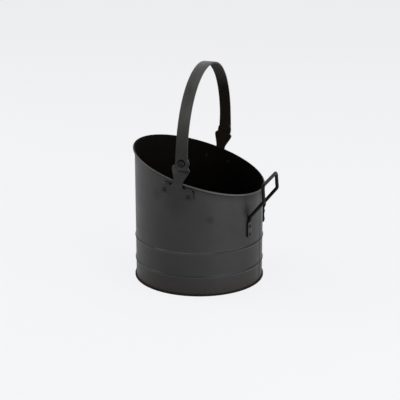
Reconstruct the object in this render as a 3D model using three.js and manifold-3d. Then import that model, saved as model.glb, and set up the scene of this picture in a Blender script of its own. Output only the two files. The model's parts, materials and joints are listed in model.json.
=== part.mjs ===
// Coal scuttle. A bucket rolled from sheet steel, with a slanted rim curled over a wire and a base
// folded on, a strap bail that swings on two riveted ears, and a bent-rod tipping handle at the back.
//
// Millimetres and degrees. +Z is up and +X points to the tipping handle, where the rim is lowest. The
// bail's pivots lie to -Y and +Y. The origin is on the bucket's axis, on the surface it stands on.

import * as THREE from 'three';
import { mergeVertices } from 'three/addons/utils/BufferGeometryUtils.js';
import Module from 'manifold-3d';

const wasm = await Module();
wasm.setup();

// ---- fits -------------------------------------------------------------------------------------

const clearance = 0.3;            // between pieces that bear on each other
const strap_play = 0.5;           // between an ear and the strap that swings beside it

// ---- bucket -----------------------------------------------------------------------------------

const body_radius = 140;          // outside of the wall
const body_sheet = 0.8;
const rim_height = 254.4;         // top of the rim, measured on the axis
const rim_slope = 16.75;          // how far the rim's plane is tipped towards the handle, degrees
const rim_wire_radius = 1.3;
const curl_opening = 65;          // degrees of the curl left open against the wall
const ring_heights = [42.3, 94.6];  // swaged rings round the wall
const ring_projection = 1.6;
const ring_half_height = 3.6;
const ring_shape = [[-1, 0], [-0.5, 0.5], [0, 1], [0.5, 0.5], [1, 0]];  // shares of those two
const flange_width = 1.6;         // turned-out foot of the wall
const base_sheet = 1;
const base_hem_corner = 0.8;      // rounding of the folded hem
const seam_width = 6.4;           // grooved seam down the back of the wall
const seam_rise = 0.8;

// ---- ears -------------------------------------------------------------------------------------

const ear_setback = 2.4;          // ear's axis behind the bucket's, where it crosses the rim
const ear_tilt = 12.5;            // lean towards the handle, degrees
const ear_thickness = 4;
const pivot_rise = 43.6;          // pivot above the rim, along the ear
const head_radius = 15;
const waist_half_width = 14.4;
const waist_drop = 8.5;           // below the pivot
const waist_rounding = 2;
const shoulder_half_width = 19.3;
const shoulder_drop = 13.3;       // widest place, below the pivot
const shoulder_rounding = 3.5;
const neck_half_width = 10;
const neck_taper = 10;            // above the neck, and a quarter of it to each side
const neck_fillet = 8;            // between the neck and the wings
const neck_height = 2.5;          // narrowest place, above the rim
const wing_half_width = 34;       // at the wings' top edge
const wing_flare = 2.5;           // how much wider each wing is at its foot
const wing_depth = 25;
const wing_corner = 4;
const wing_drop = 9;              // top edge of the wings below the rim
const joggle_height = 8;          // over which the plate steps out past the rim
const ear_rivet_spread = 27;      // each side of the ear's axis
const ear_rivet_lift = 8;         // above the wings' lower edge

// ---- bail -------------------------------------------------------------------------------------

const strap_width = 25;
const strap_end_width = 26.8;
const strap_thickness = 3;
const strap_edge = 0.5;           // broken corner of the bar
const strap_end_drop = 13.5;      // end of the strap below the pivot
const strap_end_corner = 6;
const strap_flare = 40;           // above the pivot, over which the end's width dies away
const strap_leg = 18;             // straight stretch above the pivot
const strap_rise = 182.5;         // outside of the arch above the pivot
const strap_squareness = 2.03;    // 2 is an ellipse, more is squarer
const bail_lean = 0.9;            // stands this far towards the handle, degrees

// ---- tipping handle ---------------------------------------------------------------------------

const rod_radius = 3.85;
const foot_bearing = 22.7;        // each foot's place round the wall, degrees
const foot_width = 13;
const foot_thickness = 4;
const foot_tip_bluntness = 0.15;  // share of the width at the very tip
const foot_squareness = 0.45;     // 1 is an ellipse, less is squarer
const foot_tip_height = 116.5;
const foot_length = 41;           // flattened stretch
const foot_taper = 8;             // over which the flat becomes the round rod
const foot_bend_height = 163;     // where the rod leaves the wall
const corner_reach = 22.1;        // outer corner, off the wall
const corner_height = 199.2;
const corner_spread = 54.3;       // each side of the middle
const grip_reach = 19.3;          // grip, off the wall
const grip_height = 234;
const grip_half_length = 53.5;
const rod_bend_radius = 8;
const foot_rivet_heights = [124.5, 142.5];

// ---- rivets: head, shank and closed tail ------------------------------------------------------

const ear_rivet = { head: 5, rise: 2.4, shank: 2.5, tail: 3.9, tail_rise: 1.6 };
const foot_rivet = { head: 3.9, rise: 1.9, shank: 2, tail: 3.2, tail_rise: 1.4 };
const pivot_rivet = { head: 6.3, rise: 3.2, shank: 4, tail: 6, tail_rise: 2.6 };

// ---- fineness ---------------------------------------------------------------------------------

const wall_segments = 64;
const wire_sides = 6;
const curl_steps = 7;
const rivet_segments = 12;
const dome_steps = 3;
const hole_segments = 20;
const rod_sides = 12;
const bend_steps = 4;
const arch_steps = 44;
const outline_divisions = 5;
const joggle_steps = 4;
const plate_columns = 12;
const strap_end_steps = 3;
const foot_tip_steps = 4;
const merge_distance = 1e-4;

// ---- derived sizes ----------------------------------------------------------------------------

const rad = THREE.MathUtils.degToRad;
const slope = Math.tan(rad(rim_slope));
const wall_inside = body_radius - body_sheet;
const curl_inner = rim_wire_radius + clearance;
const curl_outer = curl_inner + body_sheet;
const curl_radius = wall_inside + curl_outer;
const rim_outside = curl_radius + curl_outer;
const rim_top_at = (x) => rim_height - slope * x;

const flange_bottom = base_sheet + clearance;
const flange_top = flange_bottom + body_sheet;
const hem_inside = body_radius + flange_width + clearance;
const hem_outside = hem_inside + base_sheet;
const hem_underside = flange_top + clearance;
const hem_top = hem_underside + base_sheet;

const ear_foot_inside = body_radius + clearance;
const ear_foot_outside = ear_foot_inside + ear_thickness;
const ear_inside = rim_outside + clearance;
const ear_outside = ear_inside + ear_thickness;
const pivot_x = ear_setback + pivot_rise * Math.sin(rad(ear_tilt));
const pivot_z = rim_top_at(ear_setback) + pivot_rise * Math.cos(rad(ear_tilt));
const strap_inside = ear_outside + strap_play;
const strap_outside = strap_inside + strap_thickness;

// ---- helpers ----------------------------------------------------------------------------------

// A closed solid from a geometry, whichever way its faces were wound.
function solid(geometry) {
  const bare = new THREE.BufferGeometry();
  bare.setAttribute('position', geometry.getAttribute('position'));
  bare.setIndex(geometry.getIndex());
  const merged = mergeVertices(bare, merge_distance);
  const points = merged.getAttribute('position').array;
  const corners = merged.getIndex().array;
  const faces = [];
  let volume = 0;
  for (let i = 0; i < corners.length; i += 3) {
    const [a, b, c] = [corners[i], corners[i + 1], corners[i + 2]];
    if (a === b || b === c || c === a) continue;
    faces.push([a, b, c]);
    const [p, q, r] = [a, b, c].map((n) => new THREE.Vector3().fromArray(points, 3 * n));
    volume += p.dot(q.cross(r));
  }
  const outward = volume > 0 ? faces : faces.map(([a, b, c]) => [a, c, b]);
  const vertProperties = new Float32Array(points);
  const triVerts = new Uint32Array(outward.flat());
  return new wasm.Manifold(new wasm.Mesh({ numProp: 3, vertProperties, triVerts }));
}

function geometry_of(body) {
  const { vertProperties, triVerts } = body.getMesh();
  const geometry = new THREE.BufferGeometry();
  geometry.setAttribute('position', new THREE.BufferAttribute(vertProperties, 3));
  geometry.setIndex(new THREE.BufferAttribute(triVerts, 1));
  geometry.computeVertexNormals();
  return geometry;
}

// Skins a row of rings, each with the same number of points, and closes both ends.
function loft(rings) {
  const count = rings[0].length;
  const points = rings.flat();
  const faces = [];
  for (let i = 0; i + 1 < rings.length; i += 1) {
    for (let j = 0; j < count; j += 1) {
      const a = i * count + j;
      const b = i * count + ((j + 1) % count);
      faces.push(a, b, b + count, a, b + count, a + count);
    }
  }
  const last = (rings.length - 1) * count;
  for (let j = 1; j + 1 < count; j += 1) {
    faces.push(0, j + 1, j, last, last + j, last + j + 1);
  }
  const geometry = new THREE.BufferGeometry().setFromPoints(points);
  geometry.setIndex(faces);
  return geometry;
}

// Revolves an outline of [radius, height] pairs about Z.
function turned(outline, segments) {
  const profile = outline.map(([r, z]) => new THREE.Vector2(r, z));
  return new THREE.LatheGeometry(profile, segments).rotateX(Math.PI / 2);
}

// Drops what stands above a height to the slant of the rim.
function slanted(geometry, above) {
  const place = geometry.getAttribute('position');
  for (let i = 0; i < place.count; i += 1) {
    if (place.getZ(i) > above) place.setZ(i, place.getZ(i) - slope * place.getX(i));
  }
  return geometry;
}

function arc(centre_r, centre_z, radius, from, to, steps) {
  return Array.from({ length: steps + 1 }, (_, i) => {
    const angle = rad(from + ((to - from) * i) / steps);
    return [centre_r + radius * Math.cos(angle), centre_z + radius * Math.sin(angle)];
  });
}

// A frame at a point of the wall: local +Z points away from the axis, at a bearing from +X.
function wall_frame(bearing, radius, height) {
  const away = new THREE.Vector3(Math.cos(bearing), Math.sin(bearing), 0);
  const along = new THREE.Vector3(-Math.sin(bearing), Math.cos(bearing), 0);
  const frame = new THREE.Matrix4().makeBasis(along, new THREE.Vector3(0, 0, 1), away);
  return frame.setPosition(away.multiplyScalar(radius).setZ(height));
}

function drill(frame, radius, depth) {
  const bit = new THREE.CylinderGeometry(radius, radius, 2 * depth, hole_segments);
  return solid(bit.rotateX(Math.PI / 2).applyMatrix4(frame));
}

// ---- bucket wall ------------------------------------------------------------------------------

// One face of the sheet between the foot and the curl, with the swaged rings.
function wall_face(radius) {
  return ring_heights.flatMap((height) => ring_shape.map(
    ([step, bulge]) => [radius + bulge * ring_projection, height + step * ring_half_height],
  ));
}

const straight_above = Math.max(...ring_heights) + 2 * ring_half_height;

function body_shell_blank() {
  const curl_z = rim_height - curl_outer;
  const open_edge = curl_opening - 180;
  const outline = [
    [wall_inside, flange_bottom],
    [body_radius + flange_width, flange_bottom],
    [body_radius + flange_width, flange_top],
    [body_radius, flange_top],
    ...wall_face(body_radius),
    ...arc(curl_radius, curl_z, curl_inner, 180, open_edge, curl_steps),
    ...arc(curl_radius, curl_z, curl_outer, open_edge, 180, curl_steps),
    ...wall_face(wall_inside).reverse(),
    [wall_inside, flange_bottom],
  ];
  return solid(slanted(turned(outline, wall_segments), straight_above));
}

// The folded seam at the back stands proud of the wall and follows the rings.
function side_seam() {
  const root = body_radius - body_sheet / 2;
  const top = rim_top_at(body_radius) - 2 * curl_outer - clearance;
  const shoulder = seam_width / 2 - seam_rise;
  const heights = [[0, hem_top + clearance], ...wall_face(0), [0, top]];
  return solid(loft(heights.map(([bulge, z]) => [
    new THREE.Vector3(root + bulge, -seam_width / 2, z),
    new THREE.Vector3(body_radius + seam_rise + bulge, -shoulder, z),
    new THREE.Vector3(body_radius + seam_rise + bulge, shoulder, z),
    new THREE.Vector3(root + bulge, seam_width / 2, z),
  ])));
}

function base_pan() {
  const lip = body_radius + clearance;
  return geometry_of(solid(turned([
    [0, 0],
    [hem_outside - base_hem_corner, 0],
    [hem_outside, base_hem_corner],
    [hem_outside, hem_top - base_hem_corner],
    [hem_outside - base_hem_corner, hem_top],
    [lip, hem_top],
    [lip, hem_underside],
    [hem_inside, hem_underside],
    [hem_inside, base_sheet],
    [0, base_sheet],
  ], wall_segments)));
}

function rim_wire() {
  const centre = rim_height - curl_outer;
  const ring = arc(curl_radius, centre, rim_wire_radius, 0, 360, wire_sides);
  return geometry_of(solid(slanted(turned(ring, wall_segments), straight_above)));
}

// ---- ears -------------------------------------------------------------------------------------

// From the ear's own plane (right, up from the pivot) to X and Z.
function ear_point(right, up) {
  const lean = rad(ear_tilt);
  return [
    pivot_x + right * Math.cos(lean) + up * Math.sin(lean),
    pivot_z - right * Math.sin(lean) + up * Math.cos(lean),
  ];
}

const wing_top = -pivot_rise - wing_drop;
const wing_foot = wing_top - wing_depth;

function ear_outline() {
  const neck_y = neck_height - pivot_rise;
  const foot_half = wing_half_width + wing_flare;
  const right = new THREE.Path();
  right.moveTo(0, head_radius);
  right.absarc(0, 0, head_radius, Math.PI / 2, 0, true);
  right.quadraticCurveTo(head_radius, -waist_drop / 2, waist_half_width, -waist_drop);
  right.bezierCurveTo(
    waist_half_width, -waist_drop - waist_rounding,
    shoulder_half_width, shoulder_rounding - shoulder_drop,
    shoulder_half_width, -shoulder_drop,
  );
  right.bezierCurveTo(
    shoulder_half_width, -shoulder_drop - shoulder_rounding,
    neck_half_width + neck_taper / 4, neck_y + neck_taper,
    neck_half_width, neck_y,
  );
  right.quadraticCurveTo(neck_half_width, wing_top, neck_half_width + neck_fillet, wing_top);
  right.lineTo(wing_half_width - wing_corner, wing_top);
  right.quadraticCurveTo(wing_half_width, wing_top, wing_half_width, wing_top - wing_corner);
  right.lineTo(foot_half, wing_foot + wing_corner);
  right.quadraticCurveTo(foot_half, wing_foot, foot_half - wing_corner, wing_foot);
  const half = right.getPoints(outline_divisions);
  const other = half.map((p) => new THREE.Vector2(-p.x, p.y)).reverse();
  return new THREE.Shape([...half, ...other.slice(0, -1)]);
}

// The plate before it is cut out: its foot lies round the wall, and above a joggle it is flat.
function ear_blank() {
  const reach = wing_half_width + wing_flare + wing_corner;
  const joggle_top = wing_top + joggle_height / 2;
  const rows = [wing_foot - wing_corner, wing_top - wing_depth / 2];
  for (let i = 0; i <= joggle_steps; i += 1) {
    rows.push(joggle_top - joggle_height * (1 - i / joggle_steps));
  }
  rows.push(head_radius + wing_corner);
  const across = Array.from({ length: plate_columns + 1 }, (_, i) => {
    const share = (2 * i) / plate_columns - 1;
    return share * reach;
  });
  const place = (right, up, inset) => {
    const [x, z] = ear_point(right, up);
    const flat = THREE.MathUtils.smoothstep(up, joggle_top - joggle_height, joggle_top);
    const bearing = x / body_radius;
    const radius = ear_foot_inside + inset;
    const wrapped = new THREE.Vector3(radius * Math.sin(bearing), radius * Math.cos(bearing), z);
    return wrapped.lerp(new THREE.Vector3(x, ear_inside + inset, z), flat);
  };
  return solid(loft(rows.map((up) => [
    ...across.map((right) => place(right, up, 0)),
    ...across.map((right) => place(-right, up, ear_thickness)),
  ])));
}

function ear() {
  const cutter = new THREE.ExtrudeGeometry(ear_outline(), { depth: body_radius, bevelEnabled: false });
  cutter.rotateX(Math.PI / 2).rotateY(rad(ear_tilt));
  cutter.translate(pivot_x, ear_outside + ear_thickness, pivot_z);
  let plate = ear_blank().intersect(solid(cutter));
  plate = plate.subtract(drill(pivot_frame(ear_outside), pivot_rivet.shank + clearance, 2 * ear_thickness));
  for (const frame of ear_rivet_frames(ear_foot_outside)) {
    plate = plate.subtract(drill(frame, ear_rivet.shank + clearance, 2 * ear_thickness));
  }
  return plate;
}

// The ears are drawn on the +Y side; the other one is the mirror image.
function mirrored(geometry) {
  const copy = geometry.clone().scale(1, -1, 1);
  const index = copy.getIndex();
  for (let i = 0; i < index.count; i += 3) {
    const second = index.getX(i + 1);
    index.setX(i + 1, index.getX(i + 2));
    index.setX(i + 2, second);
  }
  copy.computeVertexNormals();
  return copy;
}

function pivot_frame(y) {
  const side = new THREE.Vector3(-1, 0, 0);
  const frame = new THREE.Matrix4().makeBasis(side, new THREE.Vector3(0, 0, 1), new THREE.Vector3(0, 1, 0));
  return frame.setPosition(pivot_x, y, pivot_z);
}

function ear_rivet_frames(radius) {
  return [-ear_rivet_spread, ear_rivet_spread].map((right) => {
    const [x, z] = ear_point(right, wing_foot + ear_rivet_lift);
    return wall_frame(Math.PI / 2 - x / body_radius, radius, z);
  });
}

// ---- rivets -----------------------------------------------------------------------------------

// A domed head above local Z = 0, a shank through the grip, and a flatter tail below it.
function rivet({ head, rise, shank, tail, tail_rise }, grip, frame) {
  const dome = (radius, height, from, to) => arc(0, 0, 1, from, to, dome_steps).map(
    ([r, z]) => [Math.max(0, r) * radius, z * height],
  );
  const head_side = dome(head, rise, 0, 90).map(([r, z]) => [r, z + clearance]);
  const tail_side = dome(tail, tail_rise, -90, 0).map(([r, z]) => [r, z - grip - clearance]);
  head_side[dome_steps][0] = 0;
  tail_side[0][0] = 0;
  const outline = [...tail_side, [shank, -grip - clearance], [shank, clearance], ...head_side];
  return geometry_of(solid(turned(outline, rivet_segments).applyMatrix4(frame)));
}

// ---- bail -------------------------------------------------------------------------------------

// Middle line of the strap in its own plane, from one end over the arch to the other.
function bail_line() {
  const half_span = strap_inside + strap_thickness / 2;
  const arch = strap_rise - strap_thickness / 2 - strap_leg;
  const corner = Array.from({ length: strap_end_steps + 1 }, (_, i) => {
    const along = strap_end_corner * (1 - Math.cos((i / strap_end_steps) * (Math.PI / 2)));
    return { y: half_span, z: along - strap_end_drop };
  });
  const leg = [...corner, { y: half_span, z: 0 }, { y: half_span, z: strap_leg / 2 }];
  const over = Array.from({ length: arch_steps + 1 }, (_, i) => {
    const turn = (i / arch_steps) * Math.PI;
    const bend = (value) => Math.sign(value) * Math.abs(value) ** (2 / strap_squareness);
    return { y: half_span * bend(Math.cos(turn)), z: strap_leg + arch * bend(Math.sin(turn)) };
  });
  const back = leg.map(({ y, z }) => ({ y: -y, z })).reverse();
  return [...leg, ...over, ...back];
}

function strap_half_width(z) {
  const widening = THREE.MathUtils.smoothstep(strap_flare - z, 0, strap_flare);
  const half = (strap_width + (strap_end_width - strap_width) * widening) / 2;
  const from_end = Math.min(z + strap_end_drop, strap_end_corner);
  const missing = strap_end_corner - from_end;
  return half - strap_end_corner + Math.sqrt(strap_end_corner ** 2 - missing ** 2);
}

function bail_strap() {
  const line = bail_line();
  const rings = line.map(({ y, z }, i) => {
    const before = line[Math.max(i - 1, 0)];
    const after = line[Math.min(i + 1, line.length - 1)];
    const tangent = new THREE.Vector2(after.y - before.y, after.z - before.z).normalize();
    const out = new THREE.Vector2(tangent.y, -tangent.x);
    const half = strap_half_width(z);
    const thick = strap_thickness / 2;
    const face = half - strap_edge;
    const side = thick - strap_edge;
    const section = [
      [half, side], [face, thick], [-face, thick], [-half, side],
      [-half, -side], [-face, -thick], [face, -thick], [half, -side],
    ];
    return section.map(([x, n]) => new THREE.Vector3(x, y + n * out.x, z + n * out.y));
  });
  let strap = solid(loft(rings));
  const hole = new THREE.CylinderGeometry(1, 1, 4 * strap_outside, hole_segments);
  const hole_radius = pivot_rivet.shank + clearance;
  strap = strap.subtract(solid(hole.scale(hole_radius, 1, hole_radius)));
  return geometry_of(strap);
}

// ---- tipping handle ---------------------------------------------------------------------------

// Straight runs joined by round bends.
function bent_line(corners, radius) {
  const line = [corners[0].clone()];
  for (let i = 1; i + 1 < corners.length; i += 1) {
    const here = corners[i];
    const back = corners[i - 1].clone().sub(here).normalize();
    const on = corners[i + 1].clone().sub(here).normalize();
    const half_angle = back.angleTo(on) / 2;
    const setback = radius / Math.tan(half_angle);
    const centre = back.clone().add(on).normalize().multiplyScalar(radius / Math.sin(half_angle));
    const start = back.clone().multiplyScalar(setback).sub(centre);
    const end = on.clone().multiplyScalar(setback).sub(centre);
    const turn = start.angleTo(end);
    for (let k = 0; k <= bend_steps; k += 1) {
      const share = k / bend_steps;
      const a = Math.sin((1 - share) * turn) / Math.sin(turn);
      const b = Math.sin(share * turn) / Math.sin(turn);
      const arm = start.clone().multiplyScalar(a).add(end.clone().multiplyScalar(b));
      line.push(here.clone().add(centre).add(arm));
    }
  }
  line.push(corners[corners.length - 1].clone());
  return line;
}

function on_wall(bearing, off_wall, height) {
  const radius = body_radius + off_wall;
  return new THREE.Vector3(radius * Math.cos(bearing), radius * Math.sin(bearing), height);
}

function handle_foot(bearing) {
  const flat_off = clearance + foot_thickness / 2;
  const rod_off = clearance + rod_radius;
  const tip = foot_width / 2;
  const stations = Array.from({ length: foot_tip_steps + 1 }, (_, i) => {
    const turn = (i / foot_tip_steps) * (Math.PI / 2);
    const half = Math.max(Math.sin(turn), foot_tip_bluntness) * tip;
    return { z: foot_tip_height + tip * (1 - Math.cos(turn)), half, thick: foot_thickness / 2, off: flat_off };
  });
  const flat_end = foot_tip_height + foot_length;
  stations.push({ z: flat_end - foot_taper, half: tip, thick: foot_thickness / 2, off: flat_off });
  stations.push({ z: flat_end, half: rod_radius, thick: rod_radius, off: rod_off });
  const along = new THREE.Vector3(-Math.sin(bearing), Math.cos(bearing), 0);
  const away = new THREE.Vector3(Math.cos(bearing), Math.sin(bearing), 0);
  const squareness = (half) => THREE.MathUtils.mapLinear(half, rod_radius, tip, 1, foot_squareness);
  return stations.map(({ z, half, thick, off }) => {
    const power = THREE.MathUtils.clamp(squareness(half), foot_squareness, 1);
    const bend = (value) => Math.sign(value) * Math.abs(value) ** power;
    return Array.from({ length: rod_sides }, (_, k) => {
      const turn = ((k + 0.5) / rod_sides) * 2 * Math.PI;
      return on_wall(bearing, off, z)
        .addScaledVector(along, half * bend(Math.cos(turn)))
        .addScaledVector(away, thick * bend(Math.sin(turn)));
    });
  });
}

function tipping_handle() {
  const bearing = rad(foot_bearing);
  const rod_off = clearance + rod_radius;
  const side = [
    on_wall(bearing, rod_off, foot_tip_height + foot_length),
    on_wall(bearing, rod_off, foot_bend_height),
    new THREE.Vector3(body_radius + corner_reach, corner_spread, corner_height),
    new THREE.Vector3(body_radius + grip_reach, grip_half_length, grip_height),
  ];
  const other = side.map((p) => new THREE.Vector3(p.x, -p.y, p.z)).reverse();
  const line = bent_line([...side, ...other], rod_bend_radius);
  let along = new THREE.Vector3(-Math.sin(bearing), Math.cos(bearing), 0);
  const rings = line.map((point, i) => {
    const before = line[Math.max(i - 1, 0)];
    const after = line[Math.min(i + 1, line.length - 1)];
    const tangent = after.clone().sub(before).normalize();
    along = along.clone().addScaledVector(tangent, -along.dot(tangent)).normalize();
    const away = tangent.clone().cross(along).negate();
    return Array.from({ length: rod_sides }, (_, k) => {
      const turn = ((k + 0.5) / rod_sides) * 2 * Math.PI;
      return point.clone()
        .addScaledVector(along, rod_radius * Math.cos(turn))
        .addScaledVector(away, rod_radius * Math.sin(turn));
    });
  });
  const foot = handle_foot(bearing).slice(0, -1);
  const far_foot = foot.map((ring) => ring.map((p) => new THREE.Vector3(p.x, -p.y, p.z))).reverse();
  let handle = solid(loft([...foot, ...rings, ...matched(far_foot, rings[rings.length - 1])]));
  for (const frame of foot_rivet_frames(ear_foot_inside + foot_thickness)) {
    handle = handle.subtract(drill(frame, foot_rivet.shank + clearance, 2 * foot_thickness));
  }
  return geometry_of(handle);
}

// Renumbers mirrored rings so that they carry on from the last ring without a twist.
function matched(rings, last) {
  const count = last.length;
  const gap = (shift, way) => last.reduce((sum, point, k) => {
    const other = rings[0][(((shift + way * k) % count) + count) % count];
    return sum + point.distanceToSquared(other);
  }, 0);
  let best = { shift: 0, way: -1, gap: Infinity };
  for (const way of [-1, 1]) {
    for (let shift = 0; shift < count; shift += 1) {
      if (gap(shift, way) < best.gap) best = { shift, way, gap: gap(shift, way) };
    }
  }
  return rings.map((ring) => ring.map(
    (_, k) => ring[(((best.shift + best.way * k) % count) + count) % count],
  ));
}

function foot_rivet_frames(radius) {
  return [-1, 1].flatMap((hand) => foot_rivet_heights.map(
    (height) => wall_frame(hand * rad(foot_bearing), radius, height),
  ));
}

// ---- assembly ---------------------------------------------------------------------------------

const black_paint = { color: 0x2b2b2d, roughness: 0.5, metalness: 0.25 };
const strap_paint = { color: 0x303032, roughness: 0.45, metalness: 0.25 };
const rod_paint = { color: 0x29292b, roughness: 0.55, metalness: 0.25 };
const bare_wire = { color: 0x6b6b6b, roughness: 0.4, metalness: 0.9 };

function piece(name, geometry, paint) {
  const mesh = new THREE.Mesh(geometry, new THREE.MeshStandardMaterial(paint));
  mesh.name = name;
  return mesh;
}

function body_shell() {
  let shell = body_shell_blank().add(side_seam());
  const holes = [
    ...both_sides(ear_rivet_frames(body_radius)).map((frame) => [frame, ear_rivet]),
    ...foot_rivet_frames(body_radius).map((frame) => [frame, foot_rivet]),
  ];
  for (const [frame, { shank }] of holes) {
    shell = shell.subtract(drill(frame, shank + clearance, 4 * body_sheet));
  }
  return geometry_of(shell);
}

// Frames on the +Y side, and the same on the -Y side.
function both_sides(frames) {
  const flip = new THREE.Matrix4().makeScale(1, -1, 1);
  return [...frames, ...frames.map((frame) => flip.clone().multiply(frame))];
}

const scuttle = new THREE.Group();
const bucket = new THREE.Group();
bucket.add(piece('body_shell', body_shell(), black_paint));
bucket.add(piece('rim_wire', rim_wire(), bare_wire));
bucket.add(piece('base_pan', base_pan(), black_paint));

const left_ear = geometry_of(ear());
bucket.add(piece('ear_left', left_ear, strap_paint));
bucket.add(piece('ear_right', mirrored(left_ear), strap_paint));

const ear_grip = ear_thickness + clearance + body_sheet;
both_sides(ear_rivet_frames(ear_foot_outside)).forEach((frame, i) => {
  bucket.add(piece(`ear_rivet_${i + 1}`, rivet(ear_rivet, ear_grip, frame), strap_paint));
});

const pivot_grip = strap_outside - ear_inside;
both_sides([pivot_frame(strap_outside)]).forEach((frame, i) => {
  bucket.add(piece(`pivot_rivet_${i + 1}`, rivet(pivot_rivet, pivot_grip, frame), strap_paint));
});

bucket.add(piece('tipping_handle', tipping_handle(), rod_paint));
const foot_grip = foot_thickness + clearance + body_sheet;
foot_rivet_frames(ear_foot_inside + foot_thickness).forEach((frame, i) => {
  bucket.add(piece(`foot_rivet_${i + 1}`, rivet(foot_rivet, foot_grip, frame), rod_paint));
});
scuttle.add(bucket);

const bail = new THREE.Group();
bail.add(piece('bail_strap', bail_strap(), strap_paint));
bail.position.set(pivot_x, 0, pivot_z);
bail.rotation.y = rad(bail_lean);
scuttle.add(bail);

export default scuttle;
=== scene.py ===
"""Coal scuttle: a round steel bucket with a slanted curled rim, a strap bail and a bent-rod handle.

Metres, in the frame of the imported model: +Z up, +X towards the tipping handle, bail pivots along Y.
"""

import json
from math import atan, atan2, copysign, cos, pi, radians, sin, sqrt, tan

import bmesh
import bpy
from bpy.props import FloatProperty, FloatVectorProperty, PointerProperty
from mathutils import Matrix, Vector
from mathutils.geometry import interpolate_bezier


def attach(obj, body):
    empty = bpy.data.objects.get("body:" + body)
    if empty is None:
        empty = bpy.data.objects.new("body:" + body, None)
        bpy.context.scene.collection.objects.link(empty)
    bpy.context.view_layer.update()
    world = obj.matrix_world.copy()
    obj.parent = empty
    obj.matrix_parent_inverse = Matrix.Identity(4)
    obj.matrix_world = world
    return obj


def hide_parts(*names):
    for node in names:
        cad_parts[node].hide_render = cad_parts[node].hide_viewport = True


bl_info = {
    "name": "Coal scuttle",
    "version": (1, 0, 0),
    "blender": (4, 5, 0),
    "location": "3D View > Sidebar > Scuttle",
    "description": "Builds the looks of a coal scuttle around its packed frame",
    "category": "Add Mesh",
}

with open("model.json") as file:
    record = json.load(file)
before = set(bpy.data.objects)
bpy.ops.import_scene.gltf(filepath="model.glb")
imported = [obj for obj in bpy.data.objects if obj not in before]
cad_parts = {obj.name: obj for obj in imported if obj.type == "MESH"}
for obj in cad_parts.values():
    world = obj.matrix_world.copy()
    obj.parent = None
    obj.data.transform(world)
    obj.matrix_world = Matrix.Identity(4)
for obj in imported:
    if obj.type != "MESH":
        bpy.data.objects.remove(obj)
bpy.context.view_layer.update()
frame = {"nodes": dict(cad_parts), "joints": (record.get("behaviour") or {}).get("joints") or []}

MM = 0.001
CLEARANCE = 0.3 * MM
TOUCH = 1e-6  # places nearer than this count as one
WALL_SIDES = 192
PIVOT = Vector(frame["joints"][0]["pos_m"])

# Darker marks painted on the wall as shade: the handle's shadow, the shade along the ear's wing edge and darker patches
# lower down; degrees round it, height, radius and strength.
WALL_SHADE = ((-111.3, 0.219, 0.017, 0.35), (-92.5, 0.203, 0.035, 0.3), (-62.0, 0.171, 0.012, 0.45),
              (-25.5, 0.178, 0.018, 0.6), (-75.8, 0.2335, 0.0035, 1.0), (-76.0, 0.2305, 0.0035, 1.0),
              (-76.3, 0.2275, 0.0035, 1.0), (-76.5, 0.2245, 0.0035, 0.9), (-75.6, 0.2195, 0.0035, 0.7))

# Lamps: name, place, height that they point at, size and watts.
LAMPS = (("left_box", (-2.6, -0.4, 1.3), 0.15, (2.6, 2.2), 46), ("right_box", (2.42, -0.95, 0.7), 0.15, (3.4, 1.4), 70),
         ("front_box", (-0.45, -2.3, 2.1), 0.15, (0.9, 0.6), 9), ("top_box", (0.3, 0.8, 3.0), 0.2, (2.0, 2.0), 18))


# ---- sizes and colours --------------------------------------------------------------------------

def length(name, text, default, smallest=0.0):
    """A length property in metres."""
    return FloatProperty(name=name, description=text, default=default, min=smallest, precision=4,
                         unit="LENGTH", subtype="DISTANCE")


def angle(name, text, degrees):
    """An angle property."""
    return FloatProperty(name=name, description=text, default=radians(degrees), subtype="ANGLE")


def colour(name, text, default):
    """A colour property."""
    return FloatVectorProperty(name=name, description=text, default=default, size=3, min=0.0, max=1.0,
                               subtype="COLOR")


class BucketSizes(bpy.types.PropertyGroup):
    radius: length("Radius", "Outside of the wall", 0.140)
    sheet: length("Sheet", "Thickness of the wall", 0.0008)
    rim_height: length("Rim height", "Top of the rim on the bucket's axis", 0.2544)
    rim_slope: angle("Rim slope", "How far the rim is tipped towards the handle", 16.75)
    wire_radius: length("Rim wire", "Radius of the wire in the rim's curl", 0.001275)
    curl_opening: angle("Curl opening", "What the curl leaves open against the wall", 65)
    low_ring: length("Lower ring", "Height of the lower swaged ring", 0.0423)
    high_ring: length("Upper ring", "Height of the upper swaged ring", 0.0946)
    ring_projection: length("Ring projection", "How far a ring stands out", 0.0016)
    ring_half_height: length("Ring half height", "Half the height of a ring", 0.0036)
    flange: length("Foot flange", "Width of the wall's turned-out foot", 0.0016)
    base_sheet: length("Base sheet", "Thickness of the base", 0.001)
    seam_width: length("Seam width", "Width of the folded side seam", 0.0064)
    seam_rise: length("Seam rise", "How far the side seam stands proud", 0.0008)


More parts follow.
